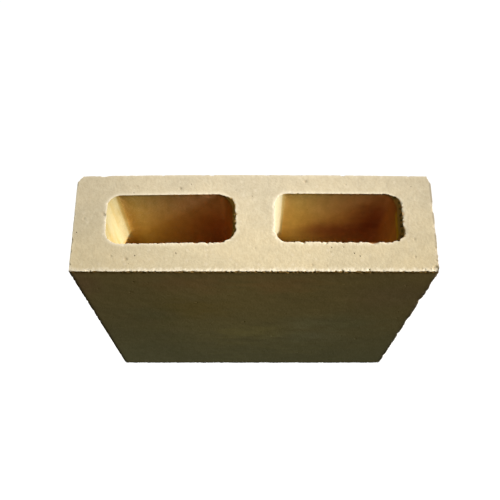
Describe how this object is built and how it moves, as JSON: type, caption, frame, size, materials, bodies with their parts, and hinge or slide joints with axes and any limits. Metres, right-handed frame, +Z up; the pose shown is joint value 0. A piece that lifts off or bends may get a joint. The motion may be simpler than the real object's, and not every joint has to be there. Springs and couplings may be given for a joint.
{
  "type": "shaped fire brick",
  "caption": "Square fireclay block with rounded slots running right through it from end to end, and a web between them.",
  "frame": {"origin": "middle of the lower end, on the surface that the brick stands on", "axes": "+Z up along the slots, X along the length with a slot on each side of the web, Y through the thickness with the front face at -Y"},
  "size_m": [0.23, 0.068, 0.23],
  "materials": {
    "fireclay": "matte"
  },
  "bodies": {
    "root": {"fire_brick": "fireclay"}
  },
  "joints": []
}
